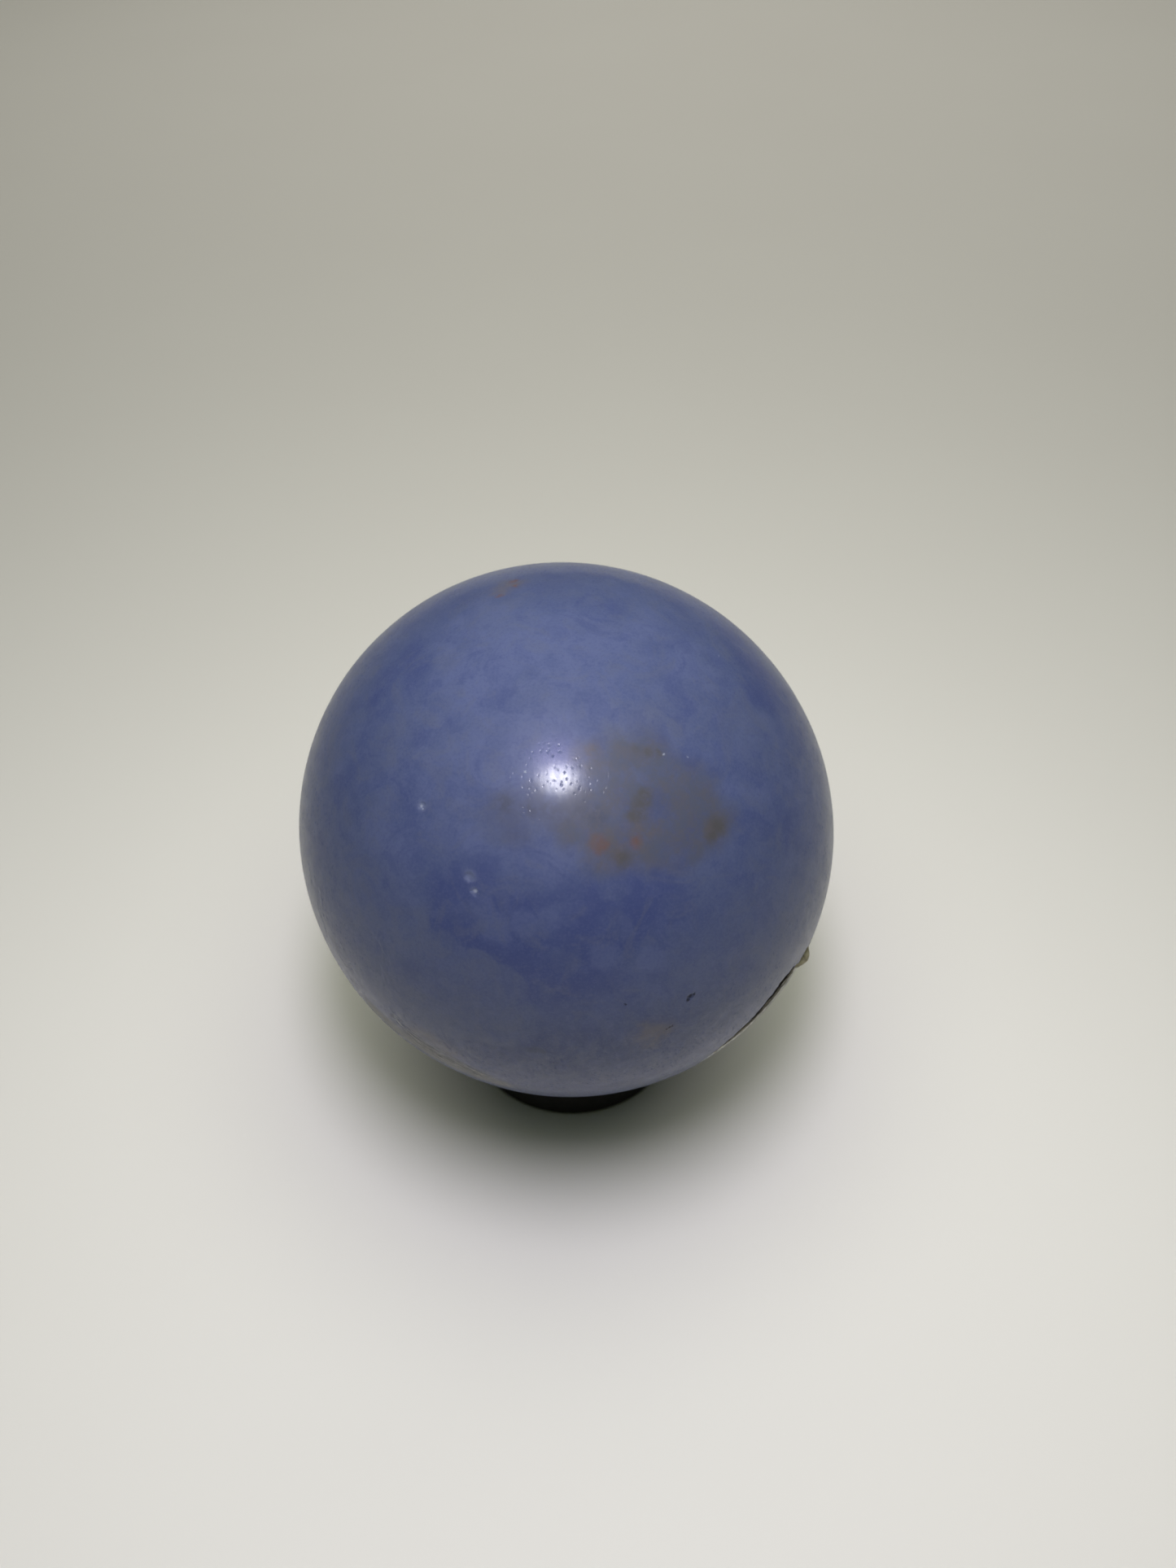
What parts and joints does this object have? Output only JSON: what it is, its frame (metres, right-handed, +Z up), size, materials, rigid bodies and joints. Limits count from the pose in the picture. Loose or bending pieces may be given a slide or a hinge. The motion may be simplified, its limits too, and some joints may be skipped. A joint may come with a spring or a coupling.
{
  "type": "polished stone ball on ring stand",
  "caption": "Polished blue stone ball, chipped and stained, resting loose in the conical seat of a small black ring stand; the ball lifts straight off.",
  "frame": {"origin": "centre of the ring stand's flat underside, on the surface it rests on", "axes": "+Z up through the centres of the ring and the ball; -Y towards the front, the side with the large brown stain; the chipped scar is low on the +X side of the front"},
  "size_m": [0.06, 0.06, 0.0681],
  "materials": {
    "blue_stone": "polished and slightly translucent, cloudy lavender blue with rust-brown stains, white flecks and a dull scuffed band",
    "black_moulding": "fine matte moulding texture, dusty and lightly scuffed along its edges"
  },
  "bodies": {
    "stand": {"ring_stand": "black_moulding"},
    "ball": {"polished_ball": "blue_stone"}
  },
  "joints": [
    {"name": "ball_lift", "type": "slide", "parent": "stand", "child": "ball", "axis": [0, 0, 1], "range_m": [0, 0.04]}
  ]
}
